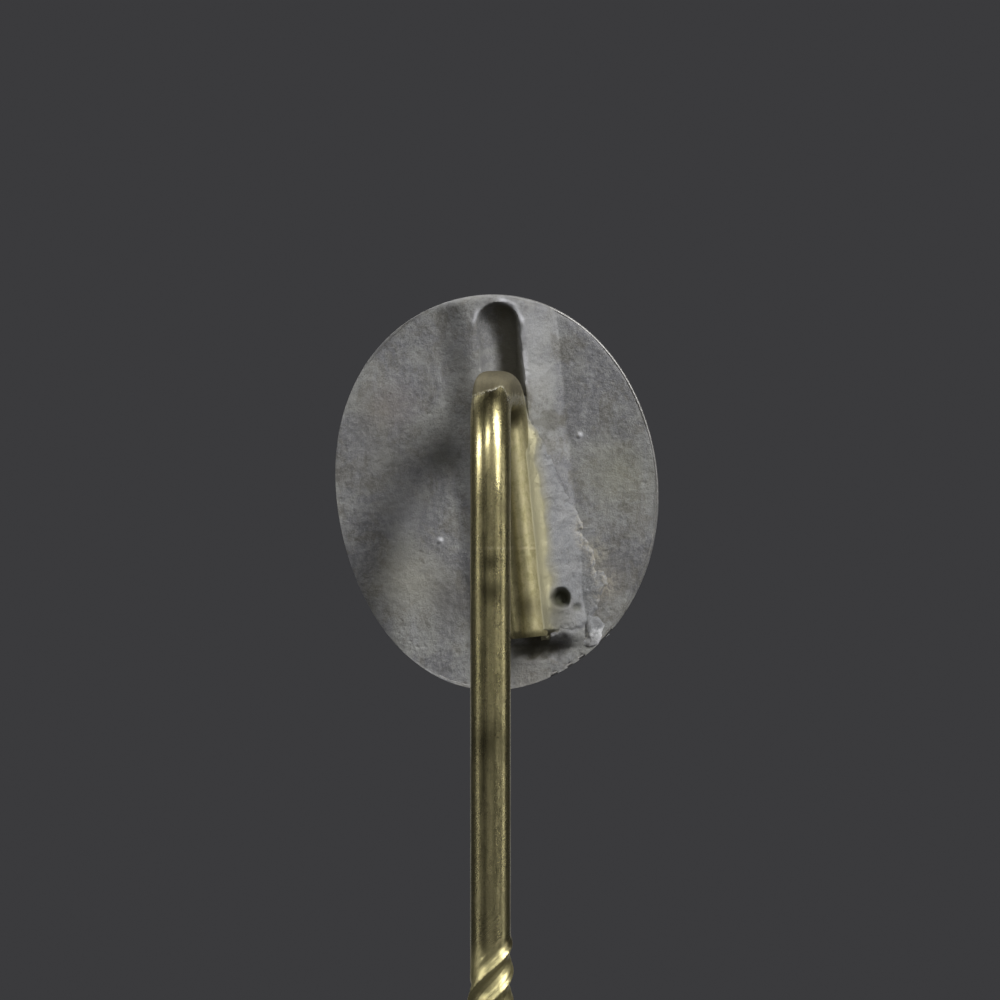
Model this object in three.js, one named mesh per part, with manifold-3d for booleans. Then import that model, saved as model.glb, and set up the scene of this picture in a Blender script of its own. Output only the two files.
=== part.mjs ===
// A stickpin: an oval struck shell filled from behind with soft white metal, and a brass pin wire
// whose short leg is soldered into a channel in the fill.
//
// Units are millimetres. +Z runs up the shank, +Y points out of the head's decorated front, and +X is
// to the right for someone looking at the back. The origin is on the shank's axis, level with the
// middle of the head.

import * as THREE from 'three';
import { mergeVertices } from 'three/addons/utils/BufferGeometryUtils.js';
import Module from 'manifold-3d';

const wasm = await Module();
wasm.setup();

const { degToRad, smoothstep } = THREE.MathUtils;

// Pin wire: one length of drawn brass
const wireRadius = 0.51;
const wireSides = 16;
const crookTop = 2.5; // highest point of the hairpin bend's centre line
const crookForward = 1.75; // and how far that point is in front of the shank
const crookFullness = 2.2; // exponent of the long side's curve: 2 is an ellipse
const crookDrift = 0.5; // how far forward the wire begins to cross to the leg's line
const shankStart = -0.3; // where the shank begins to bend over
const legStart = 1.5; // and where the leg does
const legForward = 2.6;
const legAcross = 0.6; // how far the leg is right of the shank, at height 0
const legLean = degToRad(5.7); // the leg runs down and to the right
const legEnd = -3.69;
const gripTop = -11.3; // from here down the wire is pressed square and twisted
const gripLength = 13;
const gripLead = 3.1; // length of one full turn of the twist
const gripSquareness = 5; // exponent of the pressed section: 2 is round
const gripFlat = 0.475; // from the axis to a pressed flat
const gripRunIn = 2; // over which the round wire becomes square
const taperTop = -53.5;
const pinTip = -58.5;
const tipRadius = 0.04;

// Head: an oval plate seen from behind, leaning a little to the left
const headHeight = 10;
const headWidth = 8.15;
const headAcross = 0.14; // the head's middle is this far right of the shank
const headLean = degToRad(3.7);
const headSides = 56;
const backPlane = 3.05; // from the shank's axis to the flat back of the fill
const shellSkirt = 0.9; // depth of the shell's straight edge
const shellWall = 0.16;
const borderWidth = 1.3; // the band round the front with the raised ring in it
const ringRadius = 0.26;
const domeRise = 1.15; // of the front's middle above the border
const backEdgeRadius = 0.12; // rounding of the fill's back edge

// Rib on the fill, with the channel for the leg
const ribHalfWidth = 1.48;
const ribRise = 0.45;
const ribBottom = -3.78;
const channelRadius = 0.54;
const channelTop = 4.75;
const channelRunOut = 0.6; // past the leg's cut end

// Solder: places are from the leg's line for the run and the pool, and sizes are half the whole
const runPlace = new THREE.Vector3(0.85, -0.18, -0.5);
const runSize = new THREE.Vector3(0.58, 0.34, 2.9);
const poolPlace = new THREE.Vector3(1.1, -0.1, -2.5);
const poolSize = new THREE.Vector3(0.72, 0.34, 1.25);
const dropPlace = new THREE.Vector3(2.58, 0, -3.55);
const dropSize = new THREE.Vector3(0.25, 0.17, 0.32);
const poreRadius = 0.22;
const porePlace = new THREE.Vector2(1.77, -2.7);
const poreDepth = 0.5;

const clearance = 0.025; // left between two pieces that meet

// Materials
const agedBrass = new THREE.MeshStandardMaterial({ color: 0x8f8553, roughness: 0.35, metalness: 1 });
const castWhiteMetal = new THREE.MeshStandardMaterial({ color: 0x8a8a87, roughness: 0.75, metalness: 0.6 });
const struckWhiteMetal = new THREE.MeshStandardMaterial({ color: 0xb4b4b0, roughness: 0.35, metalness: 1 });
const solder = new THREE.MeshStandardMaterial({ color: 0x9a9b97, roughness: 0.6, metalness: 0.8 });

// Closed triangle meshes to manifold solids and back
function toSolid(geometry) {
  const bare = geometry.clone();
  bare.deleteAttribute('normal');
  bare.deleteAttribute('uv');
  const merged = mergeVertices(bare, 1e-5);
  const mesh = new wasm.Mesh({
    numProp: 3,
    vertProperties: new Float32Array(merged.attributes.position.array),
    triVerts: new Uint32Array(merged.index.array),
  });
  return new wasm.Manifold(mesh);
}

function toGeometry(solid) {
  const mesh = solid.getMesh();
  const geometry = new THREE.BufferGeometry();
  geometry.setAttribute('position', new THREE.BufferAttribute(mesh.vertProperties, 3));
  geometry.setIndex(new THREE.BufferAttribute(mesh.triVerts, 1));
  geometry.computeVertexNormals();
  return geometry;
}

// Moves every vertex of a geometry by a function of its place
function reshape(geometry, move) {
  const position = geometry.attributes.position;
  const point = new THREE.Vector3();
  for (let i = 0; i < position.count; i += 1) {
    point.fromBufferAttribute(position, i);
    move(point);
    position.setXYZ(i, point.x, point.y, point.z);
  }
  return geometry;
}

const legX = (z) => legAcross - z * Math.tan(legLean);

// The hairpin's crook: a tight turn out of the leg's channel, then a long easy curve into the shank
class CrookCurve extends THREE.Curve {
  getPoint(t, target = new THREE.Vector3()) {
    const onLeg = t < 0.5;
    const start = onLeg ? legStart : shankStart;
    const reach = onLeg ? legForward - crookForward : -crookForward;
    const power = onLeg ? 1 : 2 / crookFullness;
    const y = crookForward + reach * Math.abs(Math.cos(Math.PI * t)) ** power;
    const z = start + (crookTop - start) * Math.sin(Math.PI * t) ** power;
    return target.set(legX(z) * smoothstep(y, crookDrift, legForward), y, z);
  }
}

const gripBottom = gripTop - gripLength;

// Cross-sections of the wire, from the leg's cut end over the crook and down to the tip
function wireRows() {
  const legPoint = (z) => new THREE.Vector3(legX(z), legForward, z);
  const down = (top, bottom) => new THREE.LineCurve3(
    new THREE.Vector3(0, 0, top),
    new THREE.Vector3(0, 0, bottom),
  );
  const stretches = [
    [new THREE.LineCurve3(legPoint(legEnd), legPoint(legStart)), 1],
    [new CrookCurve(), 24],
    [down(shankStart, gripTop), 1],
    [down(gripTop, gripBottom), 56],
    [down(gripBottom, taperTop), 1],
    [down(taperTop, pinTip), 8],
  ];
  const rows = [];
  for (const [curve, steps] of stretches) {
    for (let i = rows.length > 0 ? 1 : 0; i <= steps; i += 1) {
      rows.push({ centre: curve.getPointAt(i / steps), along: curve.getTangentAt(i / steps) });
    }
  }
  return rows;
}

// The pressed section: a rounded square that turns right-handed as it rises
function gripRadius(angle, height) {
  const turned = angle - (2 * Math.PI * height) / gripLead;
  const side = Math.abs(Math.cos(turned)) ** gripSquareness;
  const other = Math.abs(Math.sin(turned)) ** gripSquareness;
  const pressed = gripFlat / (side + other) ** (1 / gripSquareness);
  const fromEnd = Math.min(gripTop - height, height - gripBottom);
  return THREE.MathUtils.lerp(wireRadius, pressed, smoothstep(fromEnd, 0, gripRunIn));
}

// The long ground point
function taperRadius(height) {
  const ground = (taperTop - height) / (taperTop - pinTip);
  return THREE.MathUtils.lerp(wireRadius, tipRadius, ground ** 2);
}

function wireSurfaceRadius(angle, height) {
  if (height < taperTop) return taperRadius(height);
  if (height < gripTop && height > gripBottom) return gripRadius(angle, height);
  return wireRadius;
}

// One bar with a row of vertices for each cross-section, laid along the wire's line
function pinWireGeometry() {
  const rows = wireRows();
  const spans = rows.length - 1;
  const bar = new THREE.CylinderGeometry(1, 1, spans, wireSides, spans);
  const across = new THREE.Vector3();
  const back = new THREE.Vector3();
  return reshape(bar, (point) => {
    const { centre, along } = rows[Math.round(spans / 2 - point.y)];
    across.set(1, 0, 0).addScaledVector(along, -along.x).normalize();
    back.crossVectors(along, across);
    const offset = across.clone().multiplyScalar(point.x).addScaledVector(back, point.z);
    const angle = Math.atan2(offset.y, offset.x);
    offset.multiplyScalar(wireSurfaceRadius(angle, centre.z));
    point.addVectors(centre, offset);
  });
}

// The oval's own irregular outline, hand-finished: full at the upper left, flat at the lower left
function outline(angle) {
  return 1 + 0.011 * Math.cos(3 * angle - 0.7) + 0.0075 * Math.cos(4 * angle + 2);
}

// Turns a round lathe form about Y into the head's oval
function toOval(geometry) {
  return reshape(geometry, (point) => {
    const stretch = outline(Math.atan2(point.z, point.x));
    point.x *= (stretch * headWidth) / headHeight;
    point.z *= stretch;
  });
}

const rimRadius = headHeight / 2;
const ringMiddle = rimRadius - borderWidth / 2;
const domeRadius = rimRadius - borderWidth;

const arcPoints = (x, y, radius, from, to, count) =>
  new THREE.EllipseCurve(x, y, radius, radius, degToRad(from), degToRad(to), from > to).getPoints(count);

// From the axis at the front, out over the dome to its foot: radius and height
function domePoints(rise, foot, height) {
  const dome = new THREE.EllipseCurve(0, height, foot, rise, Math.PI / 2, 0, true);
  return dome.getPoints(8);
}

// The hollow of the shell, from the axis to its open back, shrunk by a gap for what fills it
function hollowProfile(gap) {
  const reach = rimRadius - shellWall - gap;
  const border = shellSkirt - shellWall - gap;
  const rise = domeRise - shellWall;
  return [
    ...domePoints(rise, domeRadius - shellWall - gap, border),
    new THREE.Vector2(reach, border),
  ];
}

function frontShellGeometry() {
  const rim = arcPoints(rimRadius - ringRadius / 2, shellSkirt, ringRadius / 2, 0, 180, 4);
  const ring = arcPoints(ringMiddle, shellSkirt, ringRadius, 0, 180, 6);
  const dome = domePoints(domeRise, domeRadius, shellSkirt).reverse();
  const profile = [
    ...hollowProfile(0),
    new THREE.Vector2(rimRadius - shellWall, 0),
    new THREE.Vector2(rimRadius, 0),
    ...rim,
    ...ring,
    ...dome,
  ];
  return toOval(new THREE.LatheGeometry(profile, headSides));
}

// A bar lying in the leg's direction, from its own frame (along Z, with -Y outwards) to the head's
function alongLeg(geometry) {
  geometry.applyMatrix4(new THREE.Matrix4().makeRotationY(-legLean));
  geometry.translate(legAcross, 0, 0);
  return intoHead(geometry);
}

// From the object's frame, with Y measured from the fill's back, to the leaning head's frame
function intoHead(geometry) {
  geometry.translate(-headAcross, 0, 0);
  geometry.rotateY(headLean);
  return geometry;
}

// The rib: a low hump whose foot is sunk into the fill
function ribGeometry(gap, top) {
  const half = ribHalfWidth + gap;
  const rise = ribRise + gap;
  const hump = new THREE.Shape();
  hump.moveTo(-half, ribRise);
  hump.lineTo(-half, 0);
  hump.bezierCurveTo(-half / 2, -rise * 0.25, -half / 2, -rise, 0, -rise);
  hump.bezierCurveTo(half / 2, -rise, half / 2, -rise * 0.25, half, 0);
  hump.lineTo(half, ribRise);
  const bar = new THREE.ExtrudeGeometry(hump, {
    depth: top - ribBottom + gap,
    curveSegments: 6,
    bevelEnabled: false,
  });
  bar.translate(0, 0, ribBottom - gap);
  return alongLeg(bar);
}

// The channel's tool: a round bar with ball ends, lying on the rib's crest
function channelGeometry() {
  const bottom = legEnd - channelRunOut;
  const straight = channelTop - bottom - 2 * channelRadius;
  const bar = new THREE.CapsuleGeometry(channelRadius, straight, 4, wireSides);
  bar.rotateX(Math.PI / 2);
  bar.translate(0, -ribRise, (channelTop + bottom) / 2);
  return alongLeg(bar);
}

function poreGeometry() {
  const drill = new THREE.CylinderGeometry(poreRadius, poreRadius, 2 * poreDepth, 12);
  drill.translate(porePlace.x, -poreDepth / 2, porePlace.y);
  return intoHead(drill);
}

function castBackingGeometry() {
  const reach = rimRadius - shellWall - clearance;
  const edge = arcPoints(reach - backEdgeRadius, backEdgeRadius, backEdgeRadius, -90, 0, 3);
  const profile = [
    new THREE.Vector2(0, 0),
    ...edge,
    ...hollowProfile(clearance).reverse(),
  ];
  const fill = toSolid(toOval(new THREE.LatheGeometry(profile, headSides)));
  const trim = new THREE.CylinderGeometry(reach - backEdgeRadius, reach - backEdgeRadius, 4, headSides);
  const rib = toSolid(ribGeometry(0, rimRadius)).intersect(toSolid(toOval(trim)));
  const backing = fill.add(rib).subtract(toSolid(channelGeometry())).subtract(toSolid(poreGeometry()));
  return toGeometry(backing);
}

function ellipsoid(size, place) {
  const ball = new THREE.SphereGeometry(1, 20, 14);
  ball.rotateX(Math.PI / 2);
  ball.scale(size.x, size.y, size.z);
  ball.translate(place.x, place.y, place.z);
  return ball;
}

// Everything on the fill's side of its back plane, as a block to trim solder with
function backBlock() {
  const block = new THREE.BoxGeometry(2 * headHeight, headHeight, 2 * headHeight);
  block.translate(0, headHeight / 2 - clearance, 0);
  return block;
}

// The solder run along the leg's right side, widening to a pool, moulded by the rib, leg and fill
function solderFilletGeometry() {
  const run = toSolid(alongLeg(ellipsoid(runSize, runPlace)));
  const pool = toSolid(alongLeg(ellipsoid(poolSize, poolPlace)));
  const tools = [
    backBlock(),
    ribGeometry(clearance, headHeight),
    channelGeometry(),
    poreGeometry(),
  ];
  return toGeometry(tools.map(toSolid).reduce((rest, tool) => rest.subtract(tool), run.add(pool)));
}

function solderDropGeometry() {
  const drop = toSolid(intoHead(ellipsoid(dropSize, dropPlace)));
  return toGeometry(drop.subtract(toSolid(backBlock())));
}

function part(name, geometry, material) {
  const mesh = new THREE.Mesh(geometry, material);
  mesh.name = name;
  return mesh;
}

const head = new THREE.Group();
head.position.set(headAcross, backPlane, 0);
head.rotation.y = -headLean;
head.add(
  part('front_shell', frontShellGeometry(), struckWhiteMetal),
  part('cast_backing', castBackingGeometry(), castWhiteMetal),
  part('solder_fillet', solderFilletGeometry(), solder),
  part('solder_drop', solderDropGeometry(), solder),
);

const stickpin = new THREE.Group();
stickpin.add(head, part('pin_wire', pinWireGeometry(), agedBrass));

export default stickpin;
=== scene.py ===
import math

import bmesh
import bpy
from mathutils import Matrix, Vector, noise


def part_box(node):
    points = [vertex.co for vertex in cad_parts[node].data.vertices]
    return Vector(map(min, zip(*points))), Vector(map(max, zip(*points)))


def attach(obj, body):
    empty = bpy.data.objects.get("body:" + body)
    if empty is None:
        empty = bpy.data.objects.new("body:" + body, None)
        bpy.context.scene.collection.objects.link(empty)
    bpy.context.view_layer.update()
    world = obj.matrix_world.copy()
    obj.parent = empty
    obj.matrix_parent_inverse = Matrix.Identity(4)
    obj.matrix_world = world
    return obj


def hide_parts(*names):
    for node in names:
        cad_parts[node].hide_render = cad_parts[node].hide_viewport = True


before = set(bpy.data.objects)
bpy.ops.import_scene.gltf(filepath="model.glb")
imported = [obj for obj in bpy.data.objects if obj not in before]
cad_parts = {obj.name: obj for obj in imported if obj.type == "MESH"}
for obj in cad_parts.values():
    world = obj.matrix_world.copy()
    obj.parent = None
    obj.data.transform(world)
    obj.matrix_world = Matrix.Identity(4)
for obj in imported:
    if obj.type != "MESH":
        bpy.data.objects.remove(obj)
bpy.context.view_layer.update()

# A stickpin seen from the back: oval head filled with soft white metal, brass pin wire soldered on.
# Lengths below are in millimetres; a piece becomes metres when it is finished.
# +Z runs up the shank, +Y out of the head's front, and the shank's axis is at X = Y = 0.

mm = 0.001
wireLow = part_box("pin_wire")[0]
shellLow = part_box("front_shell")[0]
dropLow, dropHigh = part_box("solder_drop")

head = {
    "across": 0.14,  # middle of the head, right of the shank
    "back": shellLow.y / mm,  # plane of the fill's flat back
    "lean": math.radians(3.7),
    "radius": 4.99,  # of the head while it is still round
    "widthRatio": 0.815,
    "filing": ((0.011, 3, -0.7), (0.0075, 4, 2)),  # swell, how many round the outline, turn
}
leg = {
    "across": 0.6,  # right of the shank, at height 0
    "lean": math.radians(5.7),
    "end": -3.69,
    "forward": 2.6,
}

headPlace = Matrix.Translation((head["across"], head["back"], 0)) @ Matrix.Rotation(-head["lean"], 4, "Y")
outOfHead = headPlace.inverted()
legPlace = Matrix.Translation((leg["across"], 0, 0)) @ Matrix.Rotation(-leg["lean"], 4, "Y")
intoLeg = legPlace.inverted()


def ease(value, low, high):
    t = min(max((value - low) / (high - low), 0), 1)
    return t * t * (3 - 2 * t)


def mixed(a, b, t):
    return a + (b - a) * t


def bell(distance, width):
    return math.exp(-((distance / width) ** 2))


def angleBell(angle, middle, spread):
    return bell(math.remainder(angle - middle, 2 * math.pi), spread)


def distancesAlong(points):
    gone = [0]
    for before, after in zip(points, points[1:]):
        gone.append(gone[-1] + (after - before).length)
    return gone


def ovalStretch(angle):  # the outline is filed by hand, so it isn't a true ellipse
    return 1 + sum(swell * math.cos(count * angle + turn) for swell, count, turn in head["filing"])


def toOval(point):  # from the round form, in the XZ plane, to the head's oval
    stretch = ovalStretch(math.atan2(point.z, point.x))
    return Vector((point.x * stretch * head["widthRatio"], point.y, point.z * stretch))


def attributeLayers(bm, *names):
    return [bm.verts.layers.float.new(name) for name in names]


def standingGrid(bm, cells):  # from -1 to 1 across and up
    across, up = cells
    bmesh.ops.create_grid(bm, x_segments=across, y_segments=up, size=1)
    bmesh.ops.rotate(bm, verts=bm.verts, matrix=Matrix.Rotation(math.radians(90), 3, "X"))


def extrudedRim(bm, rim=None):  # a new loop on an open rim, for the caller to move
    rim = rim or [edge for edge in bm.edges if edge.is_boundary]
    made = bmesh.ops.extrude_edge_only(bm, edges=rim)["geom"]
    verts = [part for part in made if isinstance(part, bmesh.types.BMVert)]
    return verts, [part for part in made if isinstance(part, bmesh.types.BMEdge)]


def finishPiece(name, bm, material, replaced, sharpAngle=40):
    bmesh.ops.recalc_face_normals(bm, faces=bm.faces)
    bmesh.ops.scale(bm, vec=(mm, mm, mm), verts=bm.verts)
    mesh = bpy.data.meshes.new(name)
    bm.to_mesh(mesh)
    bm.free()
    mesh.shade_smooth()
    mesh.set_sharp_from_angle(angle=math.radians(sharpAngle))
    mesh.materials.append(material)
    piece = bpy.data.objects.new(name, mesh)
    bpy.context.scene.collection.objects.link(piece)
    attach(piece, "root")
    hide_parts(replaced)
    print(f"{name}: {len(mesh.polygons)} faces")


# Shader building

class Reading:  # one output of a shader node, to calculate with
    def __init__(self, finish, node, output=0):
        self.finish, self.node, self.socket = finish, node, node.outputs[output]

    def __getitem__(self, output):
        return Reading(self.finish, self.node, output)

    def math(self, operation, first, second):
        return self.finish.add("ShaderNodeMath", {"operation": operation}, {0: first, 1: second})

    def __add__(self, other):
        return self.math("ADD", self, other)

    def __radd__(self, other):
        return self.math("ADD", other, self)

    def __sub__(self, other):
        return self.math("SUBTRACT", self, other)

    def __rsub__(self, other):
        return self.math("SUBTRACT", other, self)

    def __mul__(self, other):
        return self.math("MULTIPLY", self, other)

    def __rmul__(self, other):
        return self.math("MULTIPLY", other, self)


class Finish:  # a material and its nodes
    def __init__(self, name):
        self.material = bpy.data.materials.new(name)
        self.material.use_nodes = True
        self.tree = self.material.node_tree
        self.shader = self.tree.nodes["Principled BSDF"]
        place = self.add("ShaderNodeTexCoord", {}, {})["Object"]
        self.place = self.scaled(place, (1 / mm, 1 / mm, 1 / mm))

    def add(self, kind, settings, inputs):
        node = self.tree.nodes.new(kind)
        for name, value in settings.items():
            setattr(node, name, value)
        for name, value in inputs.items():
            self.put(node.inputs[name], value)
        return Reading(self, node)

    def put(self, socket, value):
        if isinstance(value, Reading):
            self.tree.links.new(value.socket, socket)
        elif socket.type == "RGBA":
            socket.default_value = (*value, 1)
        else:
            socket.default_value = value

    def set(self, **inputs):  # the shader's own sockets, with _ for a space in the name
        for name, value in inputs.items():
            self.put(self.shader.inputs[name.replace("_", " ")], value)

    def scaled(self, place, scale, location=(0, 0, 0), rotation=(0, 0, 0)):
        return self.add("ShaderNodeMapping", {}, {
            "Vector": place, "Scale": scale, "Location": location, "Rotation": rotation})

    def attribute(self, name, output="Fac"):
        return self.add("ShaderNodeAttribute", {"attribute_name": name}, {})[output]

    def grain(self, place, scale, detail, roughness=0.5, distortion=0.0):
        return self.add("ShaderNodeTexNoise", {}, {
            "Vector": place, "Scale": scale, "Detail": detail, "Roughness": roughness,
            "Distortion": distortion})["Fac"]

    def between(self, value, low, high):  # 0 below low, 1 above high
        return self.add("ShaderNodeMapRange", {"interpolation_type": "SMOOTHSTEP"}, {
            "Value": value, "From Min": low, "From Max": high})

    def blend(self, factor, first, second):
        return self.add("ShaderNodeMix", {"data_type": "RGBA"}, {"Factor": factor, 6: first, 7: second})[2]

    def layered(self, base, *layers):  # each layer is how much of it shows, and its colour
        for shows, colour in layers:
            base = self.blend(shows, base, colour)
        return base

    def near(self, middle, reach):  # 1 at a place on the piece, 0 further than reach from it
        away = self.add("ShaderNodeVectorMath", {"operation": "DISTANCE"}, {
            0: self.place, 1: middle})["Value"]
        return 1 - self.between(away, 0.0, reach)

    def nearAny(self, spots):
        shades = [self.near(middle, reach) for middle, reach in spots]
        return sum(shades[1:], shades[0])

    def bump(self, height, depth):
        return self.add("ShaderNodeBump", {}, {"Height": height, "Distance": depth * mm})


# Camera, stage and light

view = {
    "middle": Vector((0.238, 0, -0.236)),
    "width": 25.06,
    "lens": 1000,
    "sensor": 36,
    "clip": (0.01, 20),  # metres
}
lights = {  # azimuth and elevation in degrees, width, height and distance in metres, power in watts
    "keySoftbox": (48, 40, 0.062, 0.160, 0.36, 0.86),
    "keyFoot": (46, 17, 0.040, 0.080, 0.36, 0.22),
    "fillCard": (0, 8, 0.300, 0.300, 0.40, 0.06),
    "smallWindow": (-18, 36, 0.014, 0.050, 0.36, 0.24),
    "leftWindow": (-73, 19, 0.018, 0.045, 0.36, 0.34),
    "leftPanel": (-78, 3, 0.030, 0.120, 0.36, 0.02),
    "rightPanel": (80, 2, 0.050, 0.200, 0.36, 0.07),
    "frontSoftbox": (150, 52, 0.300, 0.300, 0.40, 0.26),
    "frontCard": (208, 42, 0.300, 0.300, 0.40, 0.45),
    "frontFill": (180, 4, 0.600, 0.600, 0.50, 0.28),
}
shinesOnly = ("keyFoot", "smallWindow", "leftWindow", "leftPanel")  # they only show as reflections
stage = {
    "floorRadius": 1.0,  # metres
    "floorColours": ((0.60, 0.60, 0.58), (0.55, 0.55, 0.54)),
    "floorMottle": 0.08,
    "backdrop": (0.0435, 0.0435, 0.0465),
}


def addCamera():
    camera = bpy.data.cameras.new("camera")
    camera.lens, camera.sensor_width = view["lens"], view["sensor"]
    camera.clip_start, camera.clip_end = view["clip"]
    holder = bpy.data.objects.new("camera", camera)
    away = view["width"] * view["lens"] / view["sensor"]
    holder.location = (view["middle"] + Vector((0, -away, 0))) * mm
    holder.rotation_euler = (math.radians(90), 0, 0)
    bpy.context.scene.collection.objects.link(holder)
    bpy.context.scene.camera = holder


def addSoftbox(name, azimuth, elevation, width, height, distance, power):
    light = bpy.data.lights.new(name, "AREA")
    light.shape, light.size, light.size_y, light.energy = "RECTANGLE", width, height, power
    holder = bpy.data.objects.new(name, light)
    turn, rise = math.radians(azimuth), math.radians(elevation)
    towards = Vector((math.sin(turn) * math.cos(rise), -math.cos(turn) * math.cos(rise), math.sin(rise)))
    holder.location = towards * distance
    holder.rotation_euler = towards.to_track_quat("Z", "Y").to_euler()
    holder.visible_camera = False
    holder.visible_diffuse = name not in shinesOnly
    bpy.context.scene.collection.objects.link(holder)


def paperFinish():
    f = Finish("palePaper")
    shade = f.grain(f.scaled(f.place, (mm, mm, mm)), 6, 3)
    f.set(Base_Color=f.blend(shade * stage["floorMottle"], *stage["floorColours"]), Roughness=0.9)
    return f.material


def addFloor():
    bm = bmesh.new()
    bmesh.ops.create_circle(bm, cap_ends=True, segments=96, radius=stage["floorRadius"])
    bmesh.ops.translate(bm, verts=bm.verts, vec=(0, 0, wireLow.z))
    mesh = bpy.data.meshes.new("floor")
    bm.to_mesh(mesh)
    bm.free()
    mesh.materials.append(paperFinish())
    floor = bpy.data.objects.new("floor", mesh)
    bpy.context.scene.collection.objects.link(floor)
    floor.visible_diffuse = floor.visible_glossy = False  # keeps its pale bounce off the metal


def setBackdrop():
    world = bpy.data.worlds.new("backdrop")
    world.use_nodes = True
    world.node_tree.nodes["Background"].inputs["Color"].default_value = (*stage["backdrop"], 1)
    bpy.context.scene.world = world
    bpy.context.scene.view_settings.view_transform = "Standard"


addCamera()
for name, settings in lights.items():
    addSoftbox(name, *settings)
addFloor()
setBackdrop()
print("camera, lights and floor are set")


# Pin wire

wire = {
    "sides": 96,
    "radius": 0.507,
    "crookTop": 2.5,  # of the centre line
    "crookForward": 1.75,
    "crookFullness": 2.2,  # exponent of the long side's curve
    "crookDrift": 0.5,  # how far forward the wire begins to cross to the leg's line
    "shankStart": -0.3,
    "legStart": 1.5,
    "flatFrom": 0.75,  # the crook is squashed by the bending tool between these, forward of the shank
    "flatTo": 2.35,
    "flatRunIn": 0.4,  # distance over which the squash comes and goes
    "flatPower": 5,  # on the shank's left, where the tool bit
    "flatPowerRight": 2.2,
    "toolMark": 2.525,  # height at the shank's axis
    "toolMarkSlope": 0.335,
    "toolMarkTurn": 0.35,  # it climbs to here, right of the shank
    "toolMarkFade": (0.30, 0.45),  # across here it turns on to the leg's side
    "toolMarkDrop": 0.32,  # where it is this much lower
    "toolMarkSoft": 0.25,  # and this much less sharp
    "tinnedForward": (1.5, 2.5),  # solder has crept over the wire from here on, towards the leg
    "tinnedThins": (1.0, 2.2),  # heights over which there is less of it
    "cutChamfer": 0.05,
    "gripTop": -11.55,
    "gripLength": 12.65,
    "gripLead": 3.1,  # of one full turn of the twist
    "gripSquareness": 5,
    "gripFlat": 0.4705,
    "gripRunIn": 0.4,
    "gripSlant": 0.5,  # the twist starts this much higher on the right
    "linesTurnFrom": -10.6,  # the drawn lines begin to wind round the wire here
    "seamAngle": 0.12,  # above each corner
    "seamWidth": 0.055,
    "seamDepth": 0.048,
    "ridgeDepth": 0.012,
    "ridgeWaves": 24,  # a radian
    "ridgesStart": (0, 0.13),  # angles above the seam
    "ridgesEnd": (0.53, 0.88),
    "taperTop": -53.5,
    "tipRadius": 0.04,
    "waviness": 0.004,
    "steps": {"leg": 0.09, "crook": 0.05, "shank": 0.12, "grip": 0.052, "plain": 0.6, "taper": 0.12},
}
gripBottom = wire["gripTop"] - wire["gripLength"]
pointEnd = wireLow.z / mm


def legX(z):
    return leg["across"] - z * math.tan(leg["lean"])


def onLeg(t):
    z = mixed(leg["end"], wire["legStart"], t)
    return Vector((legX(z), leg["forward"], z))


def onCrook(t):  # a tight turn out of the leg's channel, then a long easy curve into the shank
    legSide = t < 0.5
    start = wire["legStart"] if legSide else wire["shankStart"]
    forward = wire["crookForward"]
    reach = leg["forward"] - forward if legSide else -forward
    power = 1 if legSide else 2 / wire["crookFullness"]
    y = forward + reach * abs(math.cos(math.pi * t)) ** power
    z = start + (wire["crookTop"] - start) * max(math.sin(math.pi * t), 0) ** power
    return Vector((legX(z) * ease(y, wire["crookDrift"], leg["forward"]), y, z))


def downTo(top, bottom):
    return lambda t: Vector((0, 0, mixed(top, bottom, t)))


def evenly(path, step, cuts=600):  # points along a path, the same distance apart
    fine = [path(i / cuts) for i in range(cuts + 1)]
    gone = distancesAlong(fine)
    count, points, at = max(round(gone[-1] / step), 1), [], 0
    for i in range(count + 1):
        target = gone[-1] * i / count
        while at < len(fine) - 2 and gone[at + 1] < target:
            at += 1
        part = (target - gone[at]) / max(gone[at + 1] - gone[at], 1e-9)
        points.append(fine[at].lerp(fine[at + 1], min(max(part, 0), 1)))
    return points


def wireRows():  # centre and direction of each cross-section, from the leg's cut end to the tip
    stretches = {
        "leg": onLeg,
        "crook": onCrook,
        "shank": downTo(wire["shankStart"], wire["linesTurnFrom"]),
        "grip": downTo(wire["linesTurnFrom"], gripBottom),
        "plain": downTo(gripBottom, wire["taperTop"]),
        "taper": downTo(wire["taperTop"], pointEnd),
    }
    centres = []
    for name, path in stretches.items():
        centres += evenly(path, wire["steps"][name])[1 if centres else 0:]
    alongs = []
    for i in range(len(centres)):
        before, after = centres[max(i - 1, 0)], centres[min(i + 1, len(centres) - 1)]
        alongs.append((after - before).normalized())
    return centres, alongs


def gripRadius(angle, height):  # a rounded square that turns, with a folded seam above each corner
    turned = angle - 2 * math.pi * height / wire["gripLead"]
    power = wire["gripSquareness"]
    side, other = abs(math.cos(turned)) ** power, abs(math.sin(turned)) ** power
    pressed = wire["gripFlat"] / (side + other) ** (1 / power)
    aboveSeam = (math.pi / 4 - turned) % (math.pi / 2) - wire["seamAngle"]
    pressed -= wire["seamDepth"] * bell(aboveSeam, wire["seamWidth"])
    ridged = ease(aboveSeam, *wire["ridgesStart"]) * (1 - ease(aboveSeam, *wire["ridgesEnd"]))
    pressed += wire["ridgeDepth"] * ridged * math.cos(aboveSeam * wire["ridgeWaves"])
    fromEnd = min(wire["gripTop"] - height, height - gripBottom)
    slanted = fromEnd + wire["gripSlant"] * math.cos(angle)
    return mixed(wire["radius"], pressed, ease(slanted, 0, wire["gripRunIn"]))


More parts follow.
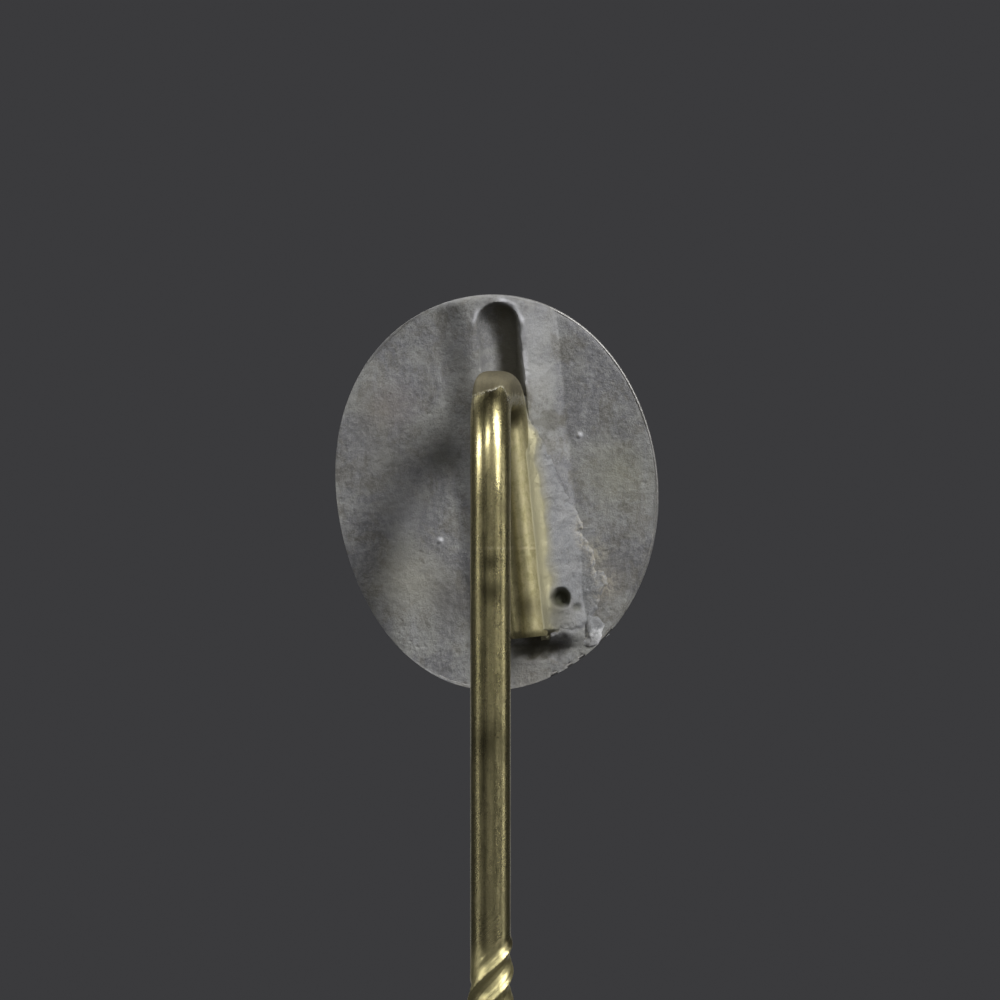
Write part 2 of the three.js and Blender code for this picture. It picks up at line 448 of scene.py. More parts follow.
def wireRadius(angle, height):
    if height < wire["taperTop"]:
        ground = (wire["taperTop"] - height) / (wire["taperTop"] - pointEnd)
        return mixed(wire["radius"], wire["tipRadius"], ground ** 2)
    if gripBottom < height < wire["linesTurnFrom"]:
        return gripRadius(angle, height)
    return wire["radius"]


def squared(sideways, outwards, forward):  # how the bending tool left the crook's section
    if not wire["flatFrom"] < forward < wire["flatTo"]:
        return sideways, outwards
    squash = ease(forward - wire["flatFrom"], 0, wire["flatRunIn"])
    squash *= ease(wire["flatTo"] - forward, 0, wire["flatRunIn"])
    power = mixed(2, wire["flatPower"] if sideways < 0 else wire["flatPowerRight"], squash)
    full = (abs(sideways) ** power + abs(outwards) ** power) ** (-1 / power)
    return sideways * full, outwards * full


def aboveToolMark(at):  # the mark climbs to the right across the crown, and fades on the leg's side
    onLegSide = ease(at.x, *wire["toolMarkFade"])
    line = wire["toolMark"] + wire["toolMarkSlope"] * min(at.x, wire["toolMarkTurn"])
    line -= wire["toolMarkDrop"] * onLegSide
    return (at.z - line) * mixed(1, wire["toolMarkSoft"], onLegSide)


def tinnedShade(centre, sideways):  # the thin solder on the wire, most of it on the right
    shade = ease(centre.y, *wire["tinnedForward"]) * (1 - 0.6 * ease(centre.z, *wire["tinnedThins"]))
    return shade * (0.25 + 0.75 * ease(sideways, -0.5, 0.4))


def makePinWire(material):
    centres, alongs = wireRows()
    lengths = distancesAlong(centres)
    spans = len(centres) - 1
    bm = bmesh.new()
    bmesh.ops.create_cone(bm, cap_ends=True, segments=wire["sides"], radius1=1, radius2=1, depth=1)
    uprights = [edge for edge in bm.edges if abs(edge.verts[0].co.z - edge.verts[1].co.z) > 0.5]
    bmesh.ops.subdivide_edges(bm, edges=uprights, cuts=spans - 1, use_grid_fill=True)
    straight = bm.verts.layers.float_vector.new("straight")
    grip, tool, tinned = attributeLayers(bm, "grip", "tool", "tinned")
    for vert in bm.verts:
        row = round((0.5 - vert.co.z) * spans)
        centre, along, fromCut = centres[row], alongs[row], lengths[row]
        across = (Vector((1, 0, 0)) - along * along.x).normalized()
        sideways, outwards = squared(vert.co.x, vert.co.y, centre.y)
        offset = across * sideways + along.cross(across) * outwards
        radius = wireRadius(math.atan2(offset.y, offset.x), centre.z)
        radius -= max(wire["cutChamfer"] - fromCut / 2, 0)
        radius *= 1 + wire["waviness"] * noise.noise(Vector((vert.co.x, vert.co.y, fromCut * 1.3)))
        unwound = 0
        if centre.y < 0.1 and centre.z < wire["linesTurnFrom"]:
            wound = max(centre.z, gripBottom) - wire["linesTurnFrom"]
            unwound = 2 * math.pi * wound / wire["gripLead"]
            vert[grip] = ease(wire["gripTop"] + 0.4 - centre.z, 0, 0.8) * ease(centre.z - gripBottom, 0, 0.8)
        turn = Matrix.Rotation(unwound, 3, "Z")
        vert[straight] = turn @ Vector((vert.co.x * radius, vert.co.y * radius, fromCut))
        vert.co = centre + offset * radius
        vert[tool] = aboveToolMark(vert.co) if centre.z > 0 else -1
        vert[tinned] = tinnedShade(centre, sideways)
    finishPiece("pinWire", bm, material, "pin_wire")


brass = {
    "drawn": ((0.47, 0.42, 0.21), (0.63, 0.55, 0.285)),
    "tarnish": (0.25, 0.22, 0.115),
    "smudge": (0.20, 0.175, 0.09),
    "darkening": (0.13, 0.115, 0.06),
    "speck": (0.80, 0.74, 0.48),
    "dark": (0.10, 0.088, 0.045),
    "dull": (0.20, 0.178, 0.10),  # down the shank
    "rubbed": (0.68, 0.61, 0.31),  # on the twist
    "tinned": ((0.50, 0.45, 0.26), (0.38, 0.34, 0.17)),
    # painted shade: the dark middle band down the leg
    "burnt": (0.16, 0.14, 0.07),
    "crown": (0.19, 0.17, 0.125),
    "ring": (0.80, 0.72, 0.45),
    # painted shade on the crook, below the tool mark and on the leg's side of the bend
    "bite": (0.11, 0.09, 0.045),
    "mark": (0.80, 0.77, 0.68),
    # places on the wire, and how far each shade reaches
    "darkSpots": [((0.0, -0.5, -1.78), 0.38), ((0.03, -0.5, -2.55), 0.5), ((-0.1, -0.5, -6.3), 0.9)],
    # where the painted shade on the leg's middle lies
    "burntSpot": ((0.95, 2.1, -2.9), 0.5),
    # where the painted shade on the crook lies
    "biteSpots": [((0.62, 2.0, 1.85), 0.62), ((0.12, 0.4, 2.42), 0.50)],
    "bump": 0.008,
}


def brassFinish():
    f = Finish("agedBrass")
    straight = f.attribute("straight", "Vector")
    grip, tool, tinned = (f.attribute(name) for name in ("grip", "tool", "tinned"))
    drawn = f.grain(f.scaled(straight, (1, 1, 0.05)), 13, 4, 0.6)
    fine = f.grain(f.scaled(straight, (1, 1, 0.12)), 46, 3, 0.6)
    blotch = f.grain(f.scaled(straight, (1, 1, 0.6)), 1.4, 5, 0.65)
    smudge = f.grain(f.scaled(straight, (1, 1, 0.8), (3, 1, 5)), 5.5, 5, 0.7)
    sandy = f.grain(straight, 22, 4, 0.75)
    height = f.add("ShaderNodeSeparateXYZ", {}, {"Vector": f.place})["Z"]
    tarnish = f.between(blotch, 0.46, 0.64)
    markEdge = tool + (smudge - 0.5) * 0.14 + (sandy - 0.5) * 0.16
    crown = f.between(markEdge, -0.02, 0.05)
    mark = f.between(markEdge, -0.045, -0.005) * (1 - f.between(markEdge, 0.005, 0.045))
    ring = f.between(height, -1.50, -1.46) * (1 - f.between(height, -1.43, -1.38))
    base = f.layered(
        f.blend(f.between(drawn, 0.35, 0.65), *brass["drawn"]),
        (tarnish * 0.65, brass["tarnish"]),
        (f.between(smudge, 0.50, 0.66) * 0.45, brass["smudge"]),
        (f.between(sandy, 0.47, 0.34) * 0.55, brass["darkening"]),
        (f.between(sandy, 0.56, 0.68) * 0.45, brass["speck"]),
        (f.nearAny(brass["darkSpots"]) * 0.80, brass["dark"]),
        (f.between(height, -3.5, -8.0) * (1 - grip) * 0.35, brass["dull"]),
        (grip * 0.6, brass["rubbed"]),
        (tinned * 0.75, f.blend(f.between(smudge, 0.42, 0.6), *brass["tinned"])),
        # painted shade on the leg's middle
        (f.near(*brass["burntSpot"]) * 0.75, brass["burnt"]),
        (crown * 0.78, brass["crown"]),
        (ring * f.between(smudge, 0.46, 0.58) * 0.5, brass["ring"]),
        # painted shade on the crook
        (f.nearAny(brass["biteSpots"]) * 0.75, brass["bite"]),
        (mark * f.between(sandy, 0.44, 0.56) * 0.75, brass["mark"]),
    )
    worn = drawn * 0.06 + tarnish * 0.10 + sandy * 0.06
    relief = fine * 0.2 + drawn * (0.35 + grip * 2.2) + sandy * 0.3 + crown * smudge * 1.6
    f.set(
        Base_Color=base,
        Metallic=1 - tinned * 0.35,
        Roughness=0.20 + worn + crown * 0.28 + tinned * 0.14 + grip * 0.12,
        Normal=f.bump(relief, brass["bump"]),
    )
    return f.material


# Fill of soft white metal, with the rib and its channel for the leg

fill = {
    "cells": (230, 280),  # across and up
    "reach": 4.984,
    "lipShows": 0.036,  # width of the sheet's edge left bare at the upper right
    "lipRagged": 0.02,
    "lipMiddle": math.radians(40),
    "lipSpread": math.radians(34),
    "chipDepth": 0.10,  # out of the edge at the lower right
    "chipMiddle": math.radians(-62),
    "chipSpread": math.radians(18),
    "edgeRound": 0.16,
    "hiddenSide": ((4.804, 0.04), (4.804, 0.72), (3.5, 0.74), (3.2, 1.15), (2.3, 1.55), (1.1, 1.80)),
    "ribHalfWidth": 1.48,
    "ribWaver": 0.07,
    "ribCrest": 0.66,  # from the channel's middle to the top of the flanks
    "ribRise": 0.45,
    "ribBottom": -3.80,
    "channelRadius": 0.54,
    "channelTop": 4.75,
    "channelRunOut": 0.6,
    "channelLip": 0.62,  # a burr this far from the channel's middle
    "channelLipRise": 0.06,
    "recess": Vector((1.02, 0, -3.96)),  # torn out below the leg's end
    "recessHalf": Vector((0.62, 0, 0.20)),
    "recessStretch": (1.6, 1.7),  # further to the right, and downwards
    "recessDepth": 0.20,
    "pore": Vector((1.77, 0, -2.70)),
    "poreRadius": 0.20,
    "poreDepth": 0.36,
    "poreStain": 0.30,  # radius of the darkening in and round it: dirt round the pore, painted shade down in it
    "pit": Vector((2.17, 0, -2.94)),
    "pitRadius": 0.10,
    "pitDepth": 0.05,
    "pitStain": 0.17,
    "flux": Vector((1.50, 0, 1.75)),  # burnt on above the solder
    "fluxReach": 0.5,
    "spatter": [Vector((2.24, 0, 1.39)), Vector((-1.27, 0, -1.26))],
    "spatterRadius": 0.09,
    "spatterRise": 0.05,
    "swell": 0.05,
    "sand": 0.0055,
    "pinholes": 0.010,
}


def alongLeg(at):  # across from the leg's middle line, and along it
    local = intoLeg @ at
    return local.x, local.z


def channelDistance(u, w):
    top = fill["channelTop"] - fill["channelRadius"]
    bottom = leg["end"] - fill["channelRunOut"] + fill["channelRadius"]
    return math.hypot(u, w - min(max(w, bottom), top))


def recessShade(at):  # 1 in the middle of the torn recess, 0 outside it; it sets the recess's depth, and the painted shadow in it
    out, half = at - fill["recess"], fill["recessHalf"]
    toRight, downwards = fill["recessStretch"]
    across = out.x / (half.x * (toRight if out.x > 0 else 1))
    up = out.z / (half.z * (1 if out.z > 0 else downwards))
    ragged = 0.16 * noise.noise(at * 5)
    return ease(1.10 + ragged - math.hypot(across * abs(across), up), 0, 1.0)


# darkening at the pore and the pit: dirt round them, painted shade down in them
def poreShade(at):
    pore = ease(fill["poreStain"] - (at - fill["pore"]).length, 0, 0.18)
    return max(pore, 0.6 * ease(fill["pitStain"] - (at - fill["pit"]).length, 0, 0.14))


def ribFlank(u, w):  # 1 on top of the rib, 0 at its foot: soft on the left, straight on the right
    crest = fill["ribCrest"]
    foot = fill["ribHalfWidth"] + fill["ribWaver"] * noise.noise(Vector((w * 0.9, 3, 0)))
    flank = (foot - abs(u)) / (fill["ribHalfWidth"] - crest)
    return ease(flank, -0.1, 1) if u < 0 else min(max(flank, 0), 1)


def ribEnd(u, w):  # 0 below the rib's broken lower end
    broken = fill["ribBottom"] + 0.10 * noise.noise(Vector((u * 3, 1, 6)))
    toRight = ease(u, 0.5, 1.0)
    return ease(w, broken - mixed(0.04, 0.30, toRight), broken + mixed(0.06, 0.15, toRight))


def fillHeight(x, z, channelOpen=True):  # how far the fill stands out behind its flat back
    at = Vector((x, 0, z))
    u, w = alongLeg(at)
    flank, away = ribFlank(u, w), channelDistance(u, w)
    rise = fill["ribRise"] * flank * ribEnd(u, w)
    burr = 0.55 + 0.9 * noise.noise(at * 2.1 + Vector((2, 0, 0)))
    rise += fill["channelLipRise"] * burr * bell(away - fill["channelLip"], 0.08) * ease(w, 3.6, 4.4)
    swell = noise.noise(at * 0.42) + 0.35 * noise.noise(at * 1.3 + Vector((0, 7, 0)))
    sand = fill["sand"] * (noise.noise(at * 6) + 0.7 * noise.noise(at * 12))
    rise += fill["swell"] * swell * (1 - flank) + sand
    rise -= fill["pinholes"] * ease(noise.noise(at * 7.5 + Vector((5, 0, 0))), 0.48, 0.62)
    if channelOpen and away < fill["channelRadius"]:
        groove = fill["ribRise"] - math.sqrt(fill["channelRadius"] ** 2 - away ** 2)
        rise = min(rise, groove + 0.6 * sand)
    rise -= fill["recessDepth"] * recessShade(at)
    for spot in fill["spatter"]:
        rise += fill["spatterRise"] * ease(fill["spatterRadius"] - (at - spot).length, 0, 0.06)
    ragged = 1 + 0.25 * noise.noise(at * 5)
    fromPore, fromPit = (at - fill["pore"]).length, (at - fill["pit"]).length
    rise -= fill["poreDepth"] * ease(fill["poreRadius"] * ragged + 0.08 - fromPore, 0, 0.20)
    rise -= fill["pitDepth"] * ease(fill["pitRadius"] * ragged + 0.05 - fromPit, 0, 0.12)
    return rise


def fillReach(angle):
    around = Vector((math.cos(angle), math.sin(angle), 0))
    lip = fill["lipShows"] + fill["lipRagged"] * noise.noise(around * 9)
    chips = fill["chipDepth"] * ease(noise.noise((around + Vector((0, 0, 1))) * 16), 0.1, 0.5)
    bare = lip * angleBell(angle, fill["lipMiddle"], fill["lipSpread"])
    return fill["reach"] - bare - chips * angleBell(angle, fill["chipMiddle"], fill["chipSpread"])


def fillShades(at):  # painted highlights along the channel's burr and the edge right of the crook, and bright spatter; then the darkening: a stain and painted shade in the channel, dirt and painted shade in the pore, painted shadow in the recess, and flux
    u, w = alongLeg(at)
    away = channelDistance(u, w)
    patchy = ease(noise.noise(at * 2.6 + Vector((1, 0, 9))), -0.25, 0.35)
    # painted highlights: along the channel's burr, and along the edge right of the crook
    burr = bell(away - 0.60, 0.06) * (ease(w, 4.05, 4.35) + ease(u, 0, 0.3) * ease(w, 2.3, 3.0)) * patchy
    paintedEdgeHighlight = bell(u - 0.57, 0.05) * ease(w, 2.5, 2.75) * (1 - ease(w, 3.15, 3.45))
    bright = max([min(burr, 1), paintedEdgeHighlight] + [bell((at - spot).length, 0.085) for spot in fill["spatter"]])
    # the channel darkens: a stain, and painted shade over its right half
    darkEdgeWander = 0.16 * noise.noise(at * 1.7) + 0.10 * noise.noise(at * 6)
    inChannel = ease(fill["channelRadius"] - away + 0.3 * darkEdgeWander, -0.04, 0.06)
    inChannel *= 0.12 + 0.88 * ease(u + darkEdgeWander, -0.28, 0.12)
    fromFlux = (at - fill["flux"]).length - 0.3 * noise.noise(at * 5)
    flux = 0.55 * ease(fill["fluxReach"] - fromFlux, 0, 0.3)
    # the darkening holds painted shade in the channel and pore, and painted shadow in the recess
    return bright, max(inChannel, poreShade(at), recessShade(at), flux)


def moveToHead(verts, radius, depth):  # onto a loop of the round form, forward of the fill's back
    for vert in verts:
        local = outOfHead @ vert.co
        angle = math.atan2(local.z, local.x / head["widthRatio"])
        onRound = Vector((math.cos(angle) * radius, depth, math.sin(angle) * radius))
        vert.co = headPlace @ toOval(onRound)


def makeCastBacking(material):
    bm = bmesh.new()
    standingGrid(bm, fill["cells"])
    bright, darkening = attributeLayers(bm, "bright", "darkening")
    for vert in bm.verts:  # the square grid becomes a disc, then the head's oval
        a, b = vert.co.x, vert.co.z
        disc = Vector((a * math.sqrt(1 - b * b / 2), 0, b * math.sqrt(1 - a * a / 2)))
        inward = 1 - disc.length
        reach = fillReach(math.atan2(disc.z, disc.x))
        place = headPlace @ toOval(disc * reach)
        edge = min(max(inward * head["radius"] / fill["edgeRound"], 0), 1)
        covered = 1 - ease(fill["reach"] - reach, 0, 0.02)
        rim = mixed(-0.03, 0.012, covered)
        rise = mixed(rim, fillHeight(place.x, place.z), math.sqrt(1 - (1 - edge) ** 2))
        vert[bright], vert[darkening] = fillShades(Vector((place.x, 0, place.z)))
        place.y -= rise
        vert.co = place
    rim = None  # the hidden side: in under the sheet's lip, forward along the skirt, behind the dome
    for radius, depth in fill["hiddenSide"]:
        verts, rim = extrudedRim(bm, rim)
        moveToHead(verts, radius, depth)
    bmesh.ops.contextual_create(bm, geom=rim)
    finishPiece("castBacking", bm, material, "cast_backing", 60)


castMetal = {
    "cloud": ((0.25, 0.25, 0.265), (0.42, 0.42, 0.40)),
    "patch": (0.22, 0.205, 0.17),
    "mottle": ((0.46, 0.46, 0.46), (0.20, 0.195, 0.18)),  # light and dark
    "streak": (0.46, 0.465, 0.485),
    "sand": ((0.50, 0.495, 0.48), (0.18, 0.175, 0.16)),
    "dust": ((0.58, 0.58, 0.57), (0.15, 0.145, 0.13)),
    # dirt, with painted shade in the channel and pore and painted shadow in the recess
    "darkening": (0.13, 0.12, 0.08),
    # painted highlights on the channel's burr and edge, and bright spatter
    "bright": (0.85, 0.85, 0.88),
    "bump": 0.017,
    # middle of each stain, or of each patch of painted light and shade, how far it reaches, how strong it
    # is, and its colour
    "stains": [
        ((3.1, 3.0, 0.45), 1.3, 0.40, (0.46, 0.45, 0.32)),
        # painted shadow of the shank, beside it on the left
        ((-0.9, 3.0, -2.7), 1.3, 0.55, (0.18, 0.17, 0.15)),
        ((-2.7, 3.0, 0.9), 1.5, 0.40, (0.22, 0.21, 0.185)),
        ((-2.9, 3.0, 2.0), 0.9, 0.45, (0.24, 0.22, 0.18)),
        # painted light on the rib's lit right flank
        ((1.25, 2.6, 2.9), 0.9, 0.55, (0.60, 0.60, 0.59)),
        ((3.0, 3.0, -2.2), 1.1, 0.35, (0.26, 0.24, 0.20)),
        ((-2.4, 3.0, 2.2), 1.0, 0.30, (0.42, 0.36, 0.34)),
        # painted light, lifting the shank's soft shadow at the lower left
        ((-2.1, 3.0, -2.2), 1.4, 0.55, (0.52, 0.50, 0.42)),
        # painted shadow: the dark core of the crook's shadow
        ((-1.14, 3.0, 0.85), 0.95, 0.75, (0.12, 0.12, 0.11)),
        # painted light, lifting the crook's second shadow band
        ((-2.2, 3.0, -0.4), 1.1, 0.55, (0.52, 0.52, 0.53)),
        # painted light on the rib's shaded left flank
        ((-0.9, 2.9, 3.3), 1.2, 0.45, (0.48, 0.475, 0.45)),
        # painted light on the upper end of the rib's lit right flank
        ((1.05, 2.8, 4.1), 0.9, 0.50, (0.60, 0.60, 0.60)),
        ((0.9, 3.0, -4.7), 0.9, 0.40, (0.36, 0.33, 0.29)),
    ],
    "crumbs": [  # a dry yellowish crust, past the edge of the solder
        ((2.62, 3.0, -1.55), 0.50, 0.8, (0.56, 0.52, 0.42)),
        ((2.88, 3.0, -2.35), 0.55, 0.8, (0.56, 0.51, 0.42)),
    ],
}


def castFinish():
    f = Finish("castWhiteMetal")
    cloud = f.grain(f.place, 0.55, 4, 0.6, 0.6)
    patch = f.grain(f.scaled(f.place, (1, 1, 1), (7, 0, 3)), 1.5, 5, 0.65, 0.5)
    mottle = f.grain(f.scaled(f.place, (1, 1, 1), (2, 0, 8)), 3.6, 4, 0.65, 0.3)
    sandy = f.grain(f.place, 8, 5, 0.75)
    dust = f.grain(f.place, 26, 3, 0.7)
    streak = f.grain(f.scaled(f.place, (1, 1, 0.22), rotation=(0, math.radians(-35), 0)), 3.0, 5, 0.65)
    base = f.layered(
        f.blend(f.between(cloud, 0.40, 0.60), *castMetal["cloud"]),
        (f.between(patch, 0.48, 0.62) * 0.60, castMetal["patch"]),
        (f.between(mottle, 0.50, 0.64) * 0.40, castMetal["mottle"][0]),
        (f.between(mottle, 0.44, 0.32) * 0.45, castMetal["mottle"][1]),
        (f.between(streak, 0.52, 0.68) * 0.45, castMetal["streak"]),
        (f.between(sandy, 0.44, 0.62) * 0.40, castMetal["sand"][0]),
        (f.between(sandy, 0.44, 0.28) * 0.50, castMetal["sand"][1]),
        (f.between(dust, 0.56, 0.70) * 0.45, castMetal["dust"][0]),
        (f.between(dust, 0.45, 0.33) * 0.45, castMetal["dust"][1]),
    )
    # stains, and patches of painted light and shade
    for middle, reach, strength, colour in castMetal["stains"]:
        base = f.blend(f.near(middle, reach) * strength, base, colour)
    for middle, reach, strength, colour in castMetal["crumbs"]:
        base = f.blend(f.near(middle, reach) * f.between(sandy, 0.36, 0.56) * strength, base, colour)
    base = f.layered(
        base,
        # dirt, with painted shade in the channel and pore and painted shadow in the recess
        (f.attribute("darkening") * 0.85, castMetal["darkening"]),
        # painted highlights on the channel's burr and edge, and bright spatter
        (f.attribute("bright") * 0.85, castMetal["bright"]),
    )
    f.set(
        Base_Color=base,
        Metallic=0.30,
        Roughness=0.50 + sandy * 0.25 + dust * 0.1,
        Normal=f.bump(dust * 0.5 + sandy + mottle, castMetal["bump"]),
    )
    return f.material


# Solder run along the leg, and the drop beside its end

solder = {
    "cells": (120, 270),
    "uRange": (0.30, 2.45),  # across, from the leg's middle
    "wRange": (-3.90, 2.40),  # along the leg
    "top": 1.60,  # of the run on the rib
    "bottom": -3.66,
    "filletTop": 2.15,  # the fillet beside the leg runs up further than the rest
    "filletReach": 0.38,
    "edgeAcross": 1.31,  # where the run stops, level with the leg's height 0
    "edgeSlope": 0.344,  # and how it widens downwards
    "edgeTuck": 0.75,  # then draws in again at the bottom
    "thickness": 0.035,
    "wrap": 0.015,  # over the leg's side
    "wrapEnds": 0.42,  # from the leg's middle, where the fillet falls away
    "sunk": 0.045,  # under the fill's surface, past its ragged edge
    "trimmed": -0.16,  # what lies further out than this is cut away
    "floorDepth": 0.25,
    "poreRim": 0.010,
}
drop = {
    "lean": math.radians(28),
    "thickness": 0.12,
    "fullness": 1.14,
}


def solderHeight(u, w):
    at = legPlace @ Vector((u, 0, w))
    ragged = 0.16 * noise.noise(at * 2.1) + 0.10 * noise.noise(at * 5.5) + 0.04 * noise.noise(at * 12)
    rightEdge = solder["edgeAcross"] - solder["edgeSlope"] * w + ragged
    rightEdge -= solder["edgeTuck"] * ease(-w, 2.5, 3.5)
    topEdge = solder["top"] + 1.5 * ragged
    bottomEdge = solder["bottom"] - 0.8 * ragged
    inside = min(rightEdge - u, topEdge - w, w - bottomEdge)
    lumps = 1 + 0.6 * noise.noise(at * 1.9 + Vector((0, 4, 0))) + 0.35 * noise.noise(at * 4.6)
    thick = solder["thickness"] * lumps
    ground = fillHeight(at.x, at.z, channelOpen=False)
    rise = ground + mixed(-solder["sunk"], thick, ease(inside, -0.05, 0.24))
    # a fillet hangs from the leg's side down to the rib
    reach = solder["filletReach"] + 0.08 * noise.noise(at * 1.3 + Vector((8, 0, 0)))
    side = math.sqrt(wire["radius"] ** 2 - min(u, solder["wrapEnds"]) ** 2)
    wrapStarts = 0.27 + 0.09 * noise.noise(Vector((2, 5, w * 1.1)))
    wrap = mixed(-0.05, solder["wrap"], ease(u, wrapStarts, solder["wrapEnds"]))
    ledge = fill["ribRise"] + side + wrap
    slope = 1 - min(max((u - solder["wrapEnds"]) / reach, 0), 1)
    belowTop = solder["filletTop"] + 0.6 * ragged - w
    if slope > 0:
        fillet = mixed(ground + thick, ledge, slope ** 2)
        ends = ease(belowTop, 0.0, 1.3) * ease(w - leg["end"], 0.0, 0.14)
        rise = max(rise, mixed(ground - solder["sunk"], fillet, ends))
    kept = max(inside, min(belowTop, solder["wrapEnds"] + reach - u))
    return at, rise, inside, kept


def makeSolderRun(material):
    bm = bmesh.new()
    standingGrid(bm, solder["cells"])
    crust, brassy, darkening = attributeLayers(bm, "crust", "brassy", "darkening")
    outside = set()
    for vert in bm.verts:
        u = mixed(*solder["uRange"], (vert.co.x + 1) / 2)
        w = mixed(*solder["wRange"], (vert.co.z + 1) / 2)
        at, rise, inside, kept = solderHeight(u, w)
        rise += solder["poreRim"] * bell((at - fill["pore"]).length - fill["poreStain"], 0.08)
        vert.co = Vector((at.x, head["back"] - rise, at.z))
        lowerRight = ease(-w, 0.3, 1.1) * ease(u, 1.2, 1.6) * ease(w, -3.2, -2.8)
        vert[crust] = bell(inside - 0.10, 0.26) * lowerRight
        vert[brassy] = ease(0.98 + 0.16 * noise.noise(at * 2) - u, 0, 0.45) * ease(2.15 - w, 0, 0.8)
        # darkening at the pore: dirt round it, painted shade down in it
        vert[darkening] = poreShade(at)
        if kept < solder["trimmed"]:
            outside.add(vert)
    spare = [face for face in bm.faces if all(vert in outside for vert in face.verts)]
    bmesh.ops.delete(bm, geom=spare, context="FACES")
    verts, rim = extrudedRim(bm)
    for vert in verts:
        vert.co.y = head["back"] + solder["floorDepth"]
    bmesh.ops.contextual_create(bm, geom=rim)
    finishPiece("solderRun", bm, material, "solder_fillet", 60)


def makeSolderDrop(material):
    bm = bmesh.new()
    bmesh.ops.create_icosphere(bm, subdivisions=5, radius=1)
    middle = (dropLow + dropHigh) / 2 / mm
    half = (dropHigh - dropLow) / 2 / mm
    middle.y = head["back"]
    lean = Matrix.Rotation(drop["lean"], 3, "Y")
    for vert in bm.verts:
        lumpy = drop["fullness"] + 0.45 * noise.noise(vert.co * 1.3) + 0.12 * noise.noise(vert.co * 3.3)
        height = drop["thickness"] * vert.co.y * abs(vert.co.y)  # thin towards its edge
        vert.co = middle + lean @ Vector((vert.co.x * half.x, height, vert.co.z * half.z)) * lumpy
    finishPiece("solderDrop", bm, material, "solder_drop", 60)


solderMetal = {
    "dull": (0.33, 0.335, 0.345),
    "run": (0.41, 0.41, 0.415),
    "drop": (0.97, 0.97, 0.98),
    "pitted": (0.20, 0.195, 0.17),
    "dust": ((0.66, 0.66, 0.67), (0.18, 0.175, 0.16)),  # light and dark
    "brassy": (0.47, 0.43, 0.265),
    "onLeg": (0.56, 0.52, 0.33),
    "crust": (0.56, 0.50, 0.38),
    "shaded": (0.19, 0.185, 0.15),
    "shadedSpot": ((1.6, 2.75, -3.2), 0.9),
    # dirt round the pore, painted shade down in it
    "darkening": (0.10, 0.10, 0.06),
    "bump": 0.020,
}


def solderFinish(name, tint, metallic):
    f = Finish(name)
    patch = f.grain(f.place, 1.8, 5, 0.6, 0.5)
    sandy = f.grain(f.place, 10, 5, 0.75)
    dust = f.grain(f.place, 34, 3, 0.7)
    brassy = f.attribute("brassy")
    onLeg = f.between(brassy, 0.72, 1.0)
    base = f.layered(
        f.blend(f.between(patch, 0.4, 0.62), solderMetal["dull"], tint),
        (f.between(sandy, 0.46, 0.30) * 0.6, solderMetal["pitted"]),
        (f.between(dust, 0.56, 0.70) * 0.5, solderMetal["dust"][0]),
        (f.between(dust, 0.44, 0.32) * 0.5, solderMetal["dust"][1]),
        (brassy * 0.8, solderMetal["brassy"]),
        (onLeg * 0.7, solderMetal["onLeg"]),
        (f.attribute("crust") * f.between(sandy, 0.40, 0.58) * 0.55, solderMetal["crust"]),
        (f.near(*solderMetal["shadedSpot"]) * 0.8, solderMetal["shaded"]),
        # dirt and painted shade at the pore
        (f.attribute("darkening") * 0.95, solderMetal["darkening"]),
    )
    f.set(
        Base_Color=base,
        Metallic=metallic + onLeg * 0.4,
        Roughness=0.44 + sandy * 0.28 - onLeg * 0.10,
        Normal=f.bump(dust * 0.5 + sandy, solderMetal["bump"]),
    )
    return f.material


# Struck front: a thin shell with a rolled rim, a ring of beads and a fluted dome

front = {
    "steps": 360,
    "wall": 0.16,
    "skirt": 0.9,
    "lipRadius": 0.05,  # of the sheet's rounded edge
    "rimRadius": 0.13,
    "borderDrop": 0.03,  # of the band between the rim and the dome
    "cordRing": 3.92,
    "cordRadius": 0.10,
    "beadRing": 4.35,  # radius of the ring the beads stand on, on the round form
    "beads": 56,
    "beadRadius": 0.205,
    "domeFoot": 3.7,
    "domeRise": 1.15,
    "flutes": 36,
    "fluteDepth": 0.085,
    "bossRadius": 1.55,
    "bossStep": 0.05,
    "bossRing": 1.05,  # radius of a shallow groove struck round the boss
    "bossRingWidth": 0.13,
}


def arc(across, forward, radius, start, end, count):
    turns = [math.radians(mixed(start, end, i / count)) for i in range(count + 1)]
    return [(across + radius * math.cos(t), forward + radius * math.sin(t)) for t in turns]


def frontProfile():  # radius and forward distance, from the axis inside, round the lip, to the axis outside
    outer, wall, skirt = head["radius"], front["wall"], front["skirt"]
    foot, rise, lipRadius = front["domeFoot"], front["domeRise"], front["lipRadius"]
    inside = [(0, skirt + rise - 2 * wall)]
    inside += [((foot - wall) * math.sin(t), skirt - wall + (rise - wall) * math.cos(t))
               for t in (math.radians(a) for a in range(10, 91, 10))]
    inside += [(outer - wall, skirt - wall)]
    lip = [(outer - wall, 0.03)] + arc(outer - lipRadius, lipRadius, lipRadius, 180, 360, 8)[1:]
    side = [(outer - 0.02, 0.30), (outer - 0.035, 0.45), (outer - 0.02, 0.62)]
    rim = arc(outer - front["rimRadius"], skirt, front["rimRadius"], -10, 190, 16)
    band = skirt - front["borderDrop"]
    border = [(4.70, skirt - 0.02), (4.62, band), (front["beadRing"], band), (4.08, band)]
    cord = arc(front["cordRing"], band, front["cordRadius"], 0, 180, 8)
    dome = [(foot * math.sin(t), skirt + rise * math.cos(t))
            for t in (math.radians(90 - i * 2) for i in range(0, 45))]
    return inside + lip + side + rim + border + cord + dome + [(0, skirt + rise)]


